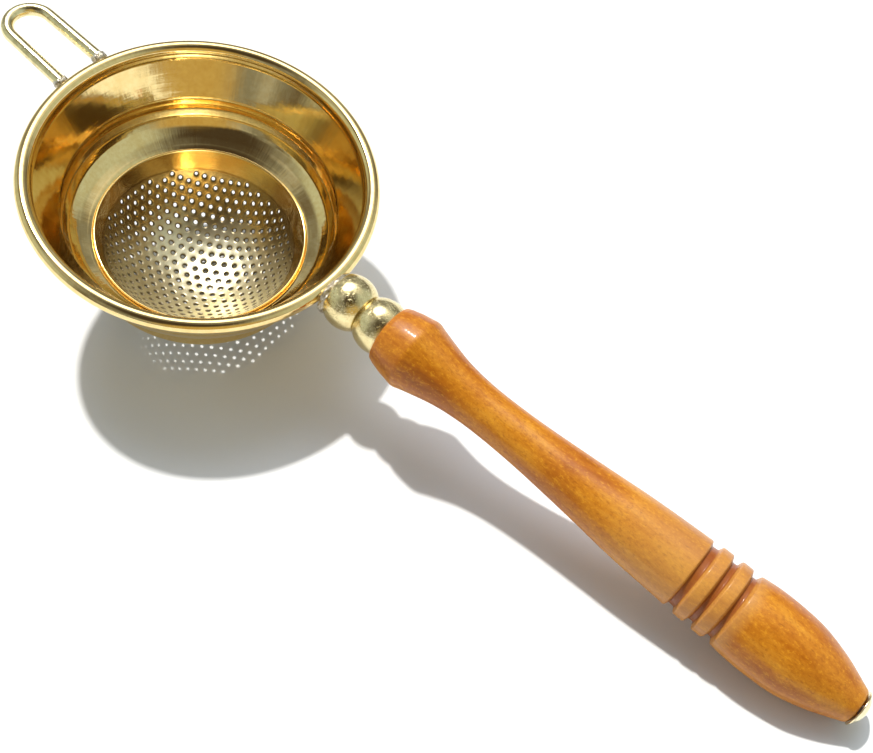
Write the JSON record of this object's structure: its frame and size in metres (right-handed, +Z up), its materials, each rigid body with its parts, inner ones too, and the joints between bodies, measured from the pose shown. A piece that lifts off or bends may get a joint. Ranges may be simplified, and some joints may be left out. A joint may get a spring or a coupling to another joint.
{
  "type": "tea strainer",
  "caption": "Deep brass strainer bowl with a perforated dome, a wire hanging loop and a turned wooden handle joined by brass balls.",
  "frame": {"origin": "on the surface the strainer lies on, below the middle of its length and width", "axes": "+X from the bowl towards the butt of the handle, +Z up from the surface"},
  "size_m": [0.223, 0.075, 0.0497],
  "materials": {
    "bowl_brass": "polished spun brass with fine turning lines, warm gold",
    "dome_brass": "pale punched brass, slightly dulled",
    "wire_brass": "polished drawn brass wire",
    "ball_brass": "polished turned brass with fine lathe rings",
    "cap_brass": "pale pressed brass",
    "tang_brass": "drawn brass rod, hidden in the handle",
    "solder": "soft solder, dull silver grey, lumpy",
    "steel": "plain steel wire",
    "handle_wood": "turned hardwood under honey-amber gloss lacquer"
  },
  "bodies": {
    "root": {"bowl_shell": "bowl_brass", "rim_wire": "steel", "strainer_dome": "dome_brass", "dome_seam_solder": "solder", "hanging_loop": "wire_brass", "loop_solder_left": "solder", "loop_solder_right": "solder", "rim_solder": "solder", "ferrule_ball": "ball_brass", "ferrule_barrel": "ball_brass", "tang_rod": "tang_brass", "handle_body": "handle_wood", "end_cap": "cap_brass", "end_tack": "steel"}
  },
  "joints": []
}
